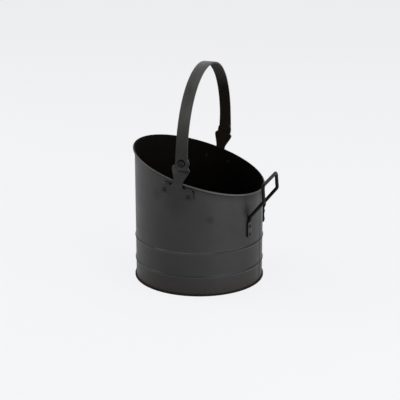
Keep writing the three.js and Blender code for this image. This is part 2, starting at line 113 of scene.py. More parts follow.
class EarSizes(bpy.types.PropertyGroup):
    tilt: angle("Tilt", "Lean of the ears towards the handle", 12.5)
    thickness: length("Thickness", "Thickness of the plate", 0.004)
    pivot_rise: length("Pivot rise", "Pivot above the rim, along the ear", 0.0436)
    head_radius: length("Head radius", "Radius of the round head", 0.015)
    waist: length("Waist", "Half width under the head", 0.0144)
    waist_drop: length("Waist drop", "Waist below the pivot", 0.0065)
    waist_rounding: length("Waist rounding", "Roundness under the waist", 0.002)
    shoulder: length("Shoulder", "Half width at the shoulders", 0.0193)
    shoulder_drop: length("Shoulder drop", "Shoulders below the pivot", 0.0133)
    shoulder_rounding: length("Shoulder rounding", "Roundness of the shoulders", 0.0035)
    neck: length("Neck", "Half width of the neck", 0.010)
    neck_taper: length("Neck taper", "Length of the taper into the neck", 0.010)
    neck_fillet: length("Neck fillet", "Fillet between the neck and the wings", 0.008)
    neck_height: length("Neck height", "Neck above the rim", 0.0025)
    wing: length("Wing", "Half width of the wings at their top edge", 0.034)
    wing_flare: length("Wing flare", "How much wider each wing is at its foot", 0.0025)
    wing_depth: length("Wing depth", "Height of the wings", 0.025)
    wing_corner: length("Wing corner", "Corner radius of the wings", 0.004)
    wing_drop: length("Wing drop", "Top edge of the wings below the rim", 0.009)
    joggle: length("Joggle", "Height over which the plate steps out past the rim", 0.008)
    rivet_spread: length("Rivet spread", "Rivets each side of the ear's middle", 0.027)
    rivet_lift: length("Rivet lift", "Rivets above the wings' lower edge", 0.008)


class BailSizes(bpy.types.PropertyGroup):
    width: length("Width", "Width of the strap", 0.025)
    end_width: length("End width", "Width of the strap's ends", 0.0268)
    thickness: length("Thickness", "Thickness of the strap", 0.003)
    play: length("Play", "Gap between the ears and the strap", 0.0005)
    end_drop: length("End drop", "Ends of the strap below the pivot", 0.0135)
    end_corner: length("End corner", "Corner radius of the ends", 0.006)
    flare: length("Flare", "Height over which the wider end dies away", 0.040)
    leg: length("Leg", "Straight stretch above the pivot", 0.018)
    rise: length("Rise", "Top of the arch above the pivot", 0.18249)
    side_radius: length("Side radius", "Bend of the arch's sides", 0.179)
    lean: angle("Lean", "How far the bail stands towards the handle", 0.9)


class HandleSizes(bpy.types.PropertyGroup):
    rod: length("Rod", "Radius of the rod", 0.00383)
    bearing: angle("Foot bearing", "Place of each foot round the wall", 22.7)
    foot_width: length("Foot width", "Width of a flattened foot", 0.013)
    foot_thickness: length("Foot thickness", "Thickness of a flattened foot", 0.004)
    foot_tip: length("Foot tip", "Height of the foot's tip", 0.1165)
    foot_length: length("Foot length", "Length of the flattened stretch", 0.041)
    foot_taper: length("Foot taper", "Stretch where the flat becomes round", 0.008)
    foot_bend: length("Foot bend", "Height where the rod leaves the wall", 0.163)
    corner_reach: length("Corner reach", "Outer corner, off the wall", 0.0221)
    corner_height: length("Corner height", "Height of the outer corner", 0.1992)
    corner_spread: length("Corner spread", "Outer corner from the middle", 0.0543)
    grip_reach: length("Grip reach", "Grip, off the wall", 0.0193)
    grip_height: length("Grip height", "Height of the grip", 0.234)
    grip_half: length("Grip half length", "Half the length of the grip", 0.0535)
    bend: length("Bend radius", "Radius of the rod's bends", 0.008)
    low_rivet: length("Lower rivet", "Height of the lower foot rivets", 0.1245)
    high_rivet: length("Upper rivet", "Height of the upper foot rivets", 0.1425)


class RivetSizes(bpy.types.PropertyGroup):
    ear_head: length("Ear rivet", "Radius of an ear rivet's head", 0.005)
    ear_rise: length("Ear rivet rise", "Height of an ear rivet's head", 0.0024)
    ear_shank: length("Ear rivet shank", "Radius of an ear rivet's shank", 0.0025)
    foot_head: length("Foot rivet", "Radius of a foot rivet's head", 0.0039)
    foot_rise: length("Foot rivet rise", "Height of a foot rivet's head", 0.0012)
    foot_shank: length("Foot rivet shank", "Radius of a foot rivet's shank", 0.002)
    pivot_head: length("Pivot rivet", "Radius of a pivot rivet's head", 0.0063)
    pivot_rise: length("Pivot rivet rise", "Height of a pivot rivet's head", 0.0032)
    pivot_shank: length("Pivot rivet shank", "Radius of a pivot rivet's shank", 0.004)


class Colours(bpy.types.PropertyGroup):
    wall: colour("Wall", "Satin black paint of the wall", (0.015, 0.015, 0.0158))
    inside: colour("Inside", "Dark inside of the bucket", (0.0015, 0.0012, 0.0008))
    rust: colour("Rust tint", "Brownish tint of the lowest part and of inner faces", (0.0105, 0.0075, 0.0055))
    strap: colour("Strap", "Satin black paint of the strap and ears", (0.022, 0.0215, 0.0205))
    rod: colour("Rod", "Satin black paint of the rod", (0.012, 0.012, 0.012))
    bare: colour("Bare steel", "Steel where the paint is rubbed through", (0.18, 0.175, 0.17))
    floor: colour("Floor", "Pale floor", (0.915, 0.918, 0.932))


class StageSizes(bpy.types.PropertyGroup):
    azimuth: angle("Azimuth", "Camera round the bucket, from the near ear towards the handle", 18.487)
    elevation: angle("Elevation", "Camera above the horizon", 19.087)
    distance: length("Distance", "Camera to the middle of the bucket", 2.8)
    middle: length("Middle", "Height of the bucket's middle", 0.112)
    aim_height: length("Aim height", "Height that the camera points at", 0.1705)
    aim_side: length("Aim side", "How far the camera points beside the axis", 0.0017)
    lens: FloatProperty(name="Lens", description="Focal length in millimetres", default=113.8, min=1.0)


def sizes(name):
    """The named group of sizes, as the sidebar shows it."""
    return getattr(bpy.context.scene, "scuttle_" + name)


# ---- modelling ----------------------------------------------------------------------------------

def deselect():
    if bpy.context.object and bpy.context.object.mode != "OBJECT":
        bpy.ops.object.mode_set(mode="OBJECT")
    bpy.ops.object.select_all(action="DESELECT")


def only(piece):
    deselect()
    piece.select_set(True)
    bpy.context.view_layer.objects.active = piece


def named(name):
    """Names the new object and puts its place into its mesh."""
    piece = bpy.context.object
    piece.name = name
    piece.data.name = name
    bpy.ops.object.transform_apply(location=True, rotation=True, scale=True)
    return piece


def edit(piece):
    """Opens the piece alone in edit mode, with all of it selected."""
    only(piece)
    bpy.context.tool_settings.mesh_select_mode = (True, False, False)
    bpy.ops.object.mode_set(mode="EDIT")
    bpy.ops.mesh.select_all(action="SELECT")


def done():
    bpy.ops.object.mode_set(mode="OBJECT")


def pick(piece, test):
    """Selects the points of the piece in edit mode whose place passes the test."""
    mesh = bmesh.from_edit_mesh(piece.data)
    bpy.ops.mesh.select_all(action="DESELECT")
    bpy.context.tool_settings.mesh_select_mode = (True, False, False)
    for point in mesh.verts:
        point.select_set(test(point.co))
    mesh.select_flush_mode()
    bmesh.update_edit_mesh(piece.data)


def move(by):
    bpy.ops.transform.translate(value=tuple(by))


def stretch(by, about=(0.0, 0.0, 0.0)):
    bpy.ops.transform.resize(value=tuple(by), center_override=tuple(about))


def turn(by, axis, about=(0.0, 0.0, 0.0)):
    """A right-handed turn about an axis of the frame."""
    bpy.ops.transform.rotate(value=-by, orient_axis=axis, center_override=tuple(about))


def draw_out(by):
    """Extrudes the selected loop."""
    bpy.ops.mesh.extrude_region_move(TRANSFORM_OT_translate={"value": tuple(by)})


def modifier(piece, kind, **settings):
    """Adds a modifier and applies it."""
    only(piece)
    step = piece.modifiers.new(kind.title(), kind)
    for key, value in settings.items():
        setattr(step, key, value)
    bpy.ops.object.modifier_apply(modifier=step.name)


def mirror_halves(piece):
    """Makes the other half of a piece across the bucket's middle plane."""
    modifier(piece, "MIRROR", use_axis=(False, True, False), merge_threshold=0.1 * MM)


def bevel(piece, width, segments, degrees):
    """Rounds the edges that are sharper than some degrees."""
    modifier(piece, "BEVEL", width=width, segments=segments, limit_method="ANGLE", angle_limit=radians(degrees))


def tidy(piece, merge=TOUCH):
    """Closes doubles and turns every face outwards."""
    edit(piece)
    bpy.ops.mesh.remove_doubles(threshold=merge)
    bpy.ops.mesh.normals_make_consistent(inside=False)
    done()


def pierce(piece, holes, shank):
    """Drills a rivet's hole through the piece at each place, along its direction."""
    for place, away in holes:
        deselect()
        bpy.ops.mesh.primitive_cylinder_add(vertices=24, radius=shank + CLEARANCE, depth=24 * MM, location=place,
                                            rotation=Vector(away).to_track_quat("Z", "Y").to_euler())
        drill = bpy.context.object
        modifier(piece, "BOOLEAN", object=drill, operation="DIFFERENCE", solver="EXACT")
        bpy.data.objects.remove(drill)
    tidy(piece)


def smooth(piece, limit):
    only(piece)
    bpy.ops.object.shade_smooth_by_angle(angle=radians(limit))


def dress(piece, body, finishes, choose=None, limit=40):
    """Gives a piece its finishes, chosen face by face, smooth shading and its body."""
    for kind in finishes:
        piece.data.materials.append(finish(kind))
    if choose:
        for face in piece.data.polygons:
            face.material_index = int(choose(face))
        smooth(piece, limit)
    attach(piece, body)


def turned_loop(name, stations, sides):
    """Draws a loop out through [radius, height] stations about Z, each from the one before."""
    radius, height = stations[0]
    deselect()
    bpy.ops.mesh.primitive_circle_add(vertices=sides, radius=radius, location=(0, 0, height))
    piece = named(name)
    edit(piece)
    for r, z in stations[1:]:
        draw_out((0, 0, z - height))
        stretch((r / radius, r / radius, 1), (0, 0, z))
        radius, height = r, z
    done()
    return piece


def ease(share):
    """Leaves 0 and reaches 1 smoothly."""
    share = min(1.0, max(0.0, share))
    return share * share * (3 - 2 * share)


def arc(centre_r, centre_z, radius, start, end, steps):
    turns = [start + (end - start) * i / steps for i in range(steps + 1)]
    return [(centre_r + radius * cos(a), centre_z + radius * sin(a)) for a in turns]


# ---- finishes -----------------------------------------------------------------------------------

class Finish:
    """A node material under construction."""

    def __init__(self, name):
        self.material = bpy.data.materials.new(name)
        self.material.use_nodes = True
        self.nodes = self.material.node_tree.nodes
        self.shader = self.nodes["Principled BSDF"]
        spots = self.add("ShaderNodeTexCoord").outputs
        self.place, self.normal = spots["Object"], spots["Normal"]

    def plug(self, value, socket):
        """Plugs a result into a socket, or sets the socket to a value."""
        if isinstance(value, bpy.types.NodeSocket):
            self.material.node_tree.links.new(value, socket)
        else:
            socket.default_value = value

    def add(self, kind, sockets=None, **settings):
        node = self.nodes.new(kind)
        for key, value in settings.items():
            setattr(node, key, value)
        for key, value in (sockets or {}).items():
            self.plug(value, node.inputs[key])
        return node

    def give(self, sockets):
        """Sets the shader's own sockets."""
        for key, value in sockets.items():
            self.plug(value, self.shader.inputs[key])

    def mapped(self, scale):
        return self.add("ShaderNodeMapping", {"Scale": scale, "Vector": self.place}).outputs["Vector"]

    def noise(self, scale, detail=3.0, stretch_by=(1, 1, 1), roughness=0.5):
        return self.add("ShaderNodeTexNoise", {"Scale": scale, "Detail": detail, "Roughness": roughness,
                                               "Vector": self.mapped(stretch_by)}).outputs["Fac"]

    def part(self, axis):
        """The place along one axis."""
        return self.add("ShaderNodeSeparateXYZ", {"Vector": self.place}).outputs[axis]

    def height(self):
        return self.part("Z")

    def near(self, spot, radius, strength, core=0.0):
        """Fades from the strength at the core round a spot to nothing at the radius."""
        away = self.add("ShaderNodeVectorMath", {0: self.place, 1: spot}, operation="DISTANCE")
        return self.between(away.outputs["Value"], core, radius, strength, 0.0)

    def facing(self, direction):
        """How far the surface faces a direction of the piece."""
        sockets = {0: self.normal, 1: Vector(direction).normalized()}
        return self.add("ShaderNodeVectorMath", sockets, operation="DOT_PRODUCT").outputs["Value"]

    def between(self, value, low, high, to_low=0.0, to_high=1.0):
        return self.add("ShaderNodeMapRange", {"From Min": low, "From Max": high, "To Min": to_low, "To Max": to_high,
                                               "Value": value}).outputs["Result"]

    def math(self, operation, a, b):
        return self.add("ShaderNodeMath", {0: a, 1: b}, operation=operation).outputs["Value"]

    def mix(self, factor, a, b):
        a, b = (tone if isinstance(tone, bpy.types.NodeSocket) else (*tone, 1) for tone in (a, b))
        return self.add("ShaderNodeMix", {"Factor": factor, "A": a, "B": b}, data_type="RGBA").outputs["Result"]

    def bump(self, height, distance, strength, before=None):
        sockets = {"Distance": distance, "Strength": strength, "Height": height}
        if before is not None:
            sockets["Normal"] = before
        return self.add("ShaderNodeBump", sockets).outputs["Normal"]


def shade_of(tone, by):
    return tuple(min(1.0, part * by) for part in tone)


def satin_black(name, tone, bare, gloss=0.42, wear=0.0, peel=0.25, drawn=(1, 1, 1), shine=0.25,
                rust=None, streaks=0.0, shade_below=None, shade_spots=(), light=(), dust_and_shade=None):
    """Satin black paint with a fine orange peel, cloudy sheen and rubbed edges, and painted shade and highlights where
    they are asked for.
    """
    paint = Finish(name)
    level = shine
    clouds = paint.noise(9, 4, drawn)
    specks = paint.noise(420, 2)
    body = paint.mix(paint.between(clouds, 0.35, 0.65), shade_of(tone, 0.88), shade_of(tone, 1.12))
    body = paint.mix(paint.between(specks, 0.60, 0.74, 0, 0.4), body, shade_of(tone, 1.5))
    if streaks:
        brushed = paint.between(paint.noise(90, 5, drawn, 0.65), 0.42, 0.68, 0, streaks)
        body = paint.mix(brushed, body, shade_of(tone, 2.2))
    # Painted shade: darker below a height, at the given share of the tone.
    if shade_below:
        low, high, share = shade_below
        body = paint.mix(paint.between(paint.height(), low, high), shade_of(tone, share), body)
    # Painted shade: faces that turn towards the given direction are darker.
    if dust_and_shade is not None:
        body = paint.mix(paint.between(paint.facing(dust_and_shade), 0.5, -0.6), shade_of(tone, 0.15), body)
    # Painted highlights at the ears: lighter, warmer spots.
    if light:
        body = paint.mix(ear_light_and_shade(paint, light), body, shade_of((tone[0], 0.92 * tone[1], 0.8 * tone[2]), 2.3))
    # Painted shade at the ears, which also dims the sheen there.
    if shade_spots:
        painted_shade = ear_light_and_shade(paint, shade_spots)
        body = paint.mix(painted_shade, body, shade_of(tone, 0.1))
        level = paint.between(painted_shade, 0, 1, shine, 0.1 * shine)
    # A brownish tint low down; then painted shade on the rings, under the rim and on the wall, which also dims the
    # sheen, and painted highlights along the rings.
    if rust is not None:
        body = paint.mix(paint.between(paint.height(), 0.05, 0.004, 0, 0.8), body, shade_of(rust, 1.45))
        painted_shade = wall_shade_marks(paint)
        body = paint.mix(painted_shade, body, shade_of(tone, 0.3))
        body = paint.mix(ring_highlights(paint), body, shade_of(tone, 2.6))
        level = paint.between(painted_shade, 0, 1, shine, 0.3 * shine)
    edges = paint.add("ShaderNodeNewGeometry").outputs["Pointiness"]
    patchy = paint.between(paint.noise(130, 4), 0.45, 0.62)
    rubbed = paint.math("MULTIPLY", paint.between(edges, 0.55, 0.66, 0, wear), patchy)
    waves = paint.bump(paint.noise(22, 2, drawn), 0.0006, 0.25)
    paint.give({"Base Color": paint.mix(rubbed, body, bare), "Metallic": paint.math("MULTIPLY", rubbed, 0.7),
                "Roughness": paint.between(paint.noise(26, 5, drawn, 0.6), 0.3, 0.7, gloss - 0.05, gloss + 0.07),
                "Normal": paint.bump(paint.noise(1500, 2), 0.00006, peel, waves), "Specular IOR Level": level})
    return paint.material


def ear_light_and_shade(paint, spots):
    """Painted shade and highlights at both ears: along, above the pivot, out from the ear's face, core, radius and
    strength.
    """
    face = rim_outside(sizes("bucket")) + CLEARANCE + sizes("ear").thickness
    marks = 0.0
    for along, above, out, core, radius, strength in spots:
        for side in (1, -1):
            spot = (PIVOT.x + along, side * (face + out), PIVOT.z + above)
            marks = paint.math("MAXIMUM", marks, paint.near(spot, radius, strength, core))
    return marks


def ring_band(paint, ring, offset, west, east, shares):
    """A band along a swaged ring, with its own strength at the left, in the middle and at the right."""
    left, middle, right = shares
    across = paint.part("X")
    strength = paint.math("ADD", paint.between(across, west, west + 0.02, left, middle),
                          paint.between(across, east, east + 0.02, 0.0, right - middle))
    off = paint.math("ABSOLUTE", paint.math("SUBTRACT", paint.height(), ring + offset), 0)
    return paint.math("MULTIPLY", strength, paint.between(off, 0.0008, 0.0022, 1.0, 0.0))


def wall_shade_marks(paint):
    """Painted shade on the swaged rings and under the rim, and the painted shadows and darker patches on the wall."""
    bucket = sizes("bucket")
    # Painted shade on the upper slopes of the swaged rings.
    slope = 0.5 * bucket.ring_half_height
    marks = ring_band(paint, bucket.high_ring, slope, -0.062, 0.060, (1.0, 0.0, 0.85))
    marks = paint.math("MAXIMUM", marks, ring_band(paint, bucket.low_ring, slope, -0.075, 0.085, (0.9, 0.6, 0.85)))
    # Painted shade under the rim's curl, on the handle's side.
    drop = paint.math("SUBTRACT", rim_top(bucket, 0), paint.math("ADD", paint.height(), paint.math(
        "MULTIPLY", paint.part("X"), tan(bucket.rim_slope))))
    under_rim = paint.between(drop, 2 * curl_outer(bucket), 0.020, 0.4, 0.0)
    marks = paint.math("MAXIMUM", marks, paint.math("MULTIPLY", under_rim, paint.between(paint.part("X"), 0.03, 0.07)))
    # Painted shadows and darker patches on the wall.
    for degrees, up, radius, strength in WALL_SHADE:
        spot, _ = wall_place(radians(degrees), bucket.radius, up)
        marks = paint.math("MAXIMUM", marks, paint.near(spot, radius, strength))
    return marks


def ring_highlights(paint):
    """Painted highlights along the lower slopes of the swaged rings."""
    bucket = sizes("bucket")
    slope = -0.55 * bucket.ring_half_height
    return paint.math("MAXIMUM", ring_band(paint, bucket.high_ring, slope, -0.065, 0.075, (0.9, 0.35, 0.6)),
                      ring_band(paint, bucket.low_ring, slope, -0.075, 0.025, (0.9, 0.45, 0.8)))


def matt_dark(name, tone, dust_and_shade, shine=0.03, towards=None):
    """Matt, nearly black, with brownish dust; another tone may take over between two heights."""
    coat = Finish(name)
    patches = coat.noise(14, 6, (1, 1, 0.6), 0.6)
    body = coat.mix(coat.between(patches, 0.42, 0.68), tone, dust_and_shade)
    if towards is not None:
        other, start, end = towards
        body = coat.mix(coat.between(coat.height(), start, end), body, other)
    coat.give({"Base Color": body, "Roughness": coat.between(coat.noise(60, 4), 0.3, 0.7, 0.62, 0.8),
               "Normal": coat.bump(coat.noise(700, 4), 0.0001, 0.3), "Specular IOR Level": shine})
    return coat.material


def bare_wire(name, tone):
    """Drawn steel wire."""
    wire = Finish(name)
    drawn = wire.noise(300, 3, (1, 1, 8))
    wire.give({"Base Color": wire.mix(drawn, shade_of(tone, 1.2), shade_of(tone, 1.8)),
               "Roughness": wire.between(drawn, 0.3, 0.7, 0.3, 0.45), "Metallic": 1.0})
    return wire.material


def finish(kind):
    """The named finish, made once."""
    if kind in bpy.data.materials:
        return bpy.data.materials[kind]
    tones = sizes("colours")
    wall, strap, rust = tones.wall, tones.strap, tones.rust
    if kind == "bare_wire":
        return bare_wire(kind, tones.bare)
    matt = {
        # The inside's own near-black, deepened as painted shade; the wall also puts it under the rim's curl as painted
        # shade.
        "inside_soot": dict(tone=tones.inside, dust_and_shade=shade_of(tones.inside, 2.2),
                            towards=(shade_of(rust, 4.0), 0.13, 0.0)),
        # Lighter towards the top of the arch: painted light from above.
        "inner_face": dict(tone=shade_of(rust, 0.65), dust_and_shade=rust, towards=(shade_of(strap, 2.4), 0.40, 0.475)),
        # Painted shade for the wings' side faces.
        "edge_soot": dict(tone=shade_of(wall, 0.1), dust_and_shade=shade_of(wall, 0.2)),
        "hem_paint": dict(tone=shade_of(wall, 0.3), dust_and_shade=rust, shine=0.1),
    }
    if kind in matt:
        return matt_dark(kind, **matt[kind])
    satin = {
        "wall_black": dict(tone=wall, gloss=0.38, wear=0.15, shine=0.32, rust=rust),
        # A lighter copy of the wall's paint on the bead: a painted highlight.
        "rim_black": dict(tone=shade_of(wall, 2.0), gloss=0.38, wear=0.15, shine=0.33),
        # The strap: painted shade, darker lower down; a painted shadow round the pivot rivet's head; painted highlights
        # along its lower end.
        "strap_black": dict(tone=shade_of(strap, 1.12), wear=0.12, peel=0.4, drawn=(1, 0.12, 0.12), shine=0.24,
                            streaks=0.5, shade_below=(0.325, 0.40, 0.5),
                            shade_spots=((0, 0.001, 0.0035, 0.0078, 0.0092, 0.95),),
                            light=((0.004, -0.0155, 0.0035, 0.0015, 0.006, 0.5),
                                   (-0.005, -0.0145, 0.0035, 0.0015, 0.006, 0.5))),
        # The ears: painted shade under the strap's end, and painted light on the front side of the head.
        "ear_black": dict(tone=shade_of(wall, 0.85), gloss=0.40, peel=0.5, shine=0.26,
                          shade_spots=((-0.005, -0.0160, 0, 0.001, 0.005, 0.5), (0.002, -0.0170, 0, 0.001, 0.005, 0.7),
                                (0.008, -0.0180, 0, 0.001, 0.005, 0.7), (0.013, -0.0190, 0, 0.001, 0.005, 0.6)),
                          light=((-0.017, -0.009, 0, 0.004, 0.009, 0.7), (-0.016, -0.018, 0, 0.004, 0.009, 0.65))),
        # The rod: painted shade on the faces that turn up and towards the bucket, and slightly darker below the bend.
        "rod_black": dict(tone=tones.rod, gloss=0.34, shine=0.05, shade_below=(0.17, 0.225, 0.9), dust_and_shade=(-0.6, 0.0, 0.8)),
        # The feet's flat faces: a lighter copy of the rod's paint, painted light.
        "foot_black": dict(tone=shade_of(wall, 1.5), gloss=0.40, shine=0.35),
        # Rivet heads at half the wall's tone: painted shade.
        "rivet_black": dict(tone=shade_of(wall, 0.5), gloss=0.40, shine=0.12),
        "pivot_black": dict(tone=shade_of(strap, 0.5), shine=0.08),
    }
    return satin_black(kind, bare=tones.bare, **satin[kind])


# ---- bucket -------------------------------------------------------------------------------------

def curl_outer(bucket):
    return bucket.wire_radius + CLEARANCE + bucket.sheet


def rim_top(bucket, x):
    return bucket.rim_height - tan(bucket.rim_slope) * x


def rim_outside(bucket):
    return bucket.radius - bucket.sheet + 2 * curl_outer(bucket)


def wall_face(bucket, radius):
    """One face of the sheet through both swaged rings, from the bottom up."""
    steps = 10
    stations = []
    for height in (bucket.low_ring, bucket.high_ring):
        stations.append((radius, height - 1.2 * bucket.ring_half_height))
        for i in range(steps + 1):
            share = 2 * i / steps - 1
            bulge = (0.5 + 0.5 * cos(pi * share)) ** 0.8
            stations.append((radius + bulge * bucket.ring_projection, height + share * bucket.ring_half_height))
        stations.append((radius, height + 1.2 * bucket.ring_half_height))
    stations.append((radius, bucket.rim_height - 2 * curl_outer(bucket)))
    return stations


def slant(piece, above, slope):
    """Shears the points above a height along the rim's slope: a turn, a stretch and a turn back."""
    half = tan(slope) / 2
    lean = atan(half)
    root = sqrt(1 + half * half)
    edit(piece)
    pick(piece, lambda co: co.z > above)
    turn(-(pi / 2 - lean) / 2, "Y")
    stretch((root + half, 1, root - half), (0, 0, 0))
    turn((pi / 2 + lean) / 2, "Y")
    done()


def raise_seam(piece, bucket, bottom):
    """Folds the side seam up out of the wall's outer face."""
    half = bucket.seam_width / 2
    top = rim_top(bucket, bucket.radius) - 2 * curl_outer(bucket) - CLEARANCE
    edit(piece)
    for place, facing in (((0, half, 0), (0, 1, 0)), ((0, -half, 0), (0, 1, 0)),
                          ((0, 0, bottom), (0, 0, 1)), ((0, 0, top), (0, 0, 1))):
        pick(piece, lambda co: co.x > 0 and abs(co.y) < 4 * bucket.seam_width
             and co.x > bucket.radius - bucket.sheet / 2 - 0.0006)
        bpy.ops.mesh.bisect(plane_co=place, plane_no=facing, threshold=TOUCH)
    mesh = bmesh.from_edit_mesh(piece.data)
    bpy.ops.mesh.select_all(action="DESELECT")
    bpy.context.tool_settings.mesh_select_mode = (False, False, True)
    for face in mesh.faces:
        middle = face.calc_center_median()
        face.select_set(middle.x > 0 and abs(middle.y) < half and face.normal.x > 0.3
                        and bottom < middle.z < top)
    bmesh.update_edit_mesh(piece.data)
    bpy.ops.mesh.extrude_region_shrink_fatten(TRANSFORM_OT_shrink_fatten={"value": bucket.seam_rise})
    stretch((1, 1 - 2 * bucket.seam_rise / bucket.seam_width, 1), (0, 0, 0))
    done()


class SCUTTLE_OT_wall(bpy.types.Operator):
    """Rolls the bucket's wall, with its foot, rings, side seam and curled rim"""
    bl_idname = "scuttle.wall"
    bl_label = "Wall"

    def execute(self, context):
        bucket, rivets = sizes("bucket"), sizes("rivets")
        inside = bucket.radius - bucket.sheet
        outer = curl_outer(bucket)
        inner = outer - bucket.sheet
        curl_r = inside + outer
        curl_z = bucket.rim_height - outer
        foot = bucket.base_sheet + CLEARANCE
        edge = bucket.curl_opening - pi
        stations = [
            (inside, foot),
            (bucket.radius + bucket.flange, foot),
            (bucket.radius + bucket.flange, foot + bucket.sheet),
            (bucket.radius, foot + bucket.sheet),
            *wall_face(bucket, bucket.radius),
            *arc(curl_r, curl_z, inner, pi, edge, 14),
            *arc(curl_r, curl_z, outer, edge, pi, 18),
            *reversed(wall_face(bucket, inside)),
            (inside, foot),
        ]
        wall = turned_loop("bucket_wall", stations, WALL_SIDES)
        tidy(wall, 1e-5)
        slant(wall, bucket.high_ring + 2 * bucket.ring_half_height, bucket.rim_slope)
        raise_seam(wall, bucket, foot + 2 * bucket.sheet + 2 * bucket.base_sheet)
        tidy(wall)
        pierce(wall, ear_rivet_places(bucket, sizes("ear")), rivets.ear_shank)
        pierce(wall, foot_rivet_places(bucket, sizes("handle")), rivets.foot_shank)

        def choose(face):
            away = Vector((face.center.x, face.center.y, 0)).normalized()
            tilt = away.dot(face.normal)
            near_rim = face.center.z > rim_top(bucket, face.center.x) - 3 * outer
            # Inner faces, the curl's inner faces and the faces under the curl take the inside finish: the inside's
            # colour deepened as painted shade.
            inner = Vector(face.center[:2]).length < curl_r + 0.3 * MM if near_rim else tilt < -0.3
            painted_shade = inner and tilt < 0.05 or near_rim and face.normal.z < -0.3
            # The bead's outer faces take the painted highlight.
            on_bead = near_rim and Vector(face.center[:2]).length > bucket.radius + 0.5 * MM
            return 1 if painted_shade else 2 * on_bead

        dress(wall, "bucket", ("wall_black", "inside_soot", "rim_black"), choose, 35)
        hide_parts("body_shell")
        return {"FINISHED"}


class SCUTTLE_OT_base(bpy.types.Operator):
    """Folds the base over the wall's foot"""
    bl_idname = "scuttle.base"
    bl_label = "Base"

    def execute(self, context):
        bucket = sizes("bucket")
        sheet = bucket.base_sheet
        inside = bucket.radius + bucket.flange + CLEARANCE
        outside = inside + sheet
        under = sheet + CLEARANCE + bucket.sheet + CLEARANCE
        top = under + sheet
        corner = 0.8 * MM
        stations = [
            (0.004, 0.0),
            (outside - corner, 0.0),
            *arc(outside - corner, corner, corner, -pi / 2, 0, 4)[1:],
            *arc(outside - corner, top - corner, corner, 0, pi / 2, 4),
            (bucket.radius + CLEARANCE, top),
            (bucket.radius + CLEARANCE, under),
            (inside, under),
            (inside, sheet),
            (0.004, sheet),
        ]
        base = turned_loop("bucket_base", stations, WALL_SIDES)
        edit(base)
        for height in (0.0, sheet):
            pick(base, lambda co: abs(co.z - height) < TOUCH and Vector(co[:2]).length < 0.005)
            bpy.ops.mesh.merge(type="CENTER")
        done()
        tidy(base)
        dress(base, "bucket", ("hem_paint", "inside_soot"),
              lambda face: Vector(face.center[:2]).length < bucket.radius and face.normal.z > 0.5, 35)
        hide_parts("base_pan")
        return {"FINISHED"}


class SCUTTLE_OT_rim_wire(bpy.types.Operator):
    """Gives the wire in the rim its finish"""
    bl_idname = "scuttle.rim_wire"
    bl_label = "Rim wire"

    def execute(self, context):
        wire = frame["nodes"]["rim_wire"]
        wire.data.materials.clear()
        wire.data.materials.append(finish("bare_wire"))
        return {"FINISHED"}


# ---- ears ---------------------------------------------------------------------------------------

def ear_heights(ear):
    """Top and foot of the wings, from the pivot, along the ear."""
    top = -ear.pivot_rise - ear.wing_drop
    return top, top - ear.wing_depth


def ear_rows(ear):
    """Half widths and heights of the ear from the crown of its head to its foot."""
    wing_top, wing_foot = ear_heights(ear)
    neck = Vector((ear.neck, ear.neck_height - ear.pivot_rise))
    waist = Vector((ear.waist, -ear.waist_drop))
    shoulder = Vector((ear.shoulder, -ear.shoulder_drop))
    foot = ear.wing + ear.wing_flare
    rows = [Vector(row) for row in arc(0, 0, ear.head_radius, pi / 2, 0, 10)[1:]]
    curves = (
        (rows[-1], Vector((ear.head_radius, -ear.waist_drop / 3)), waist + Vector((0, ear.waist_drop / 3)),
         waist, 4),
        (waist, waist - Vector((0, ear.waist_rounding)), shoulder + Vector((-0.2 * MM, ear.shoulder_rounding)),
         shoulder, 8),
        (shoulder, shoulder - Vector((0, 1.6 * ear.shoulder_rounding)),
         neck + Vector((ear.neck_taper / 4, ear.neck_taper)), neck, 12),
        (neck, Vector((ear.neck, (neck.y + wing_top) / 2)), Vector((ear.neck + 0.4 * MM, wing_top + 0.9 * MM)),
         Vector((ear.neck + ear.neck_fillet, wing_top)), 8),
    )
    for start, leaving, arriving, end, steps in curves:
        rows += interpolate_bezier(start, leaving, arriving, end, steps)[1:]
    corner = ear.wing_corner
    rows += arc(ear.wing - corner, wing_top - 0.15 * MM - corner, corner, pi / 2, 0, 5)
    rows.append((foot - ear.wing_flare / 2, (wing_top + wing_foot) / 2))
    return rows + arc(foot - corner, wing_foot + corner, corner, 0, -pi / 2, 5)


def ear_middle(bucket, ear):
    """Pivot of the ears, on the inside face of the plate."""
    return Vector((PIVOT.x, rim_outside(bucket) + CLEARANCE, PIVOT.z))


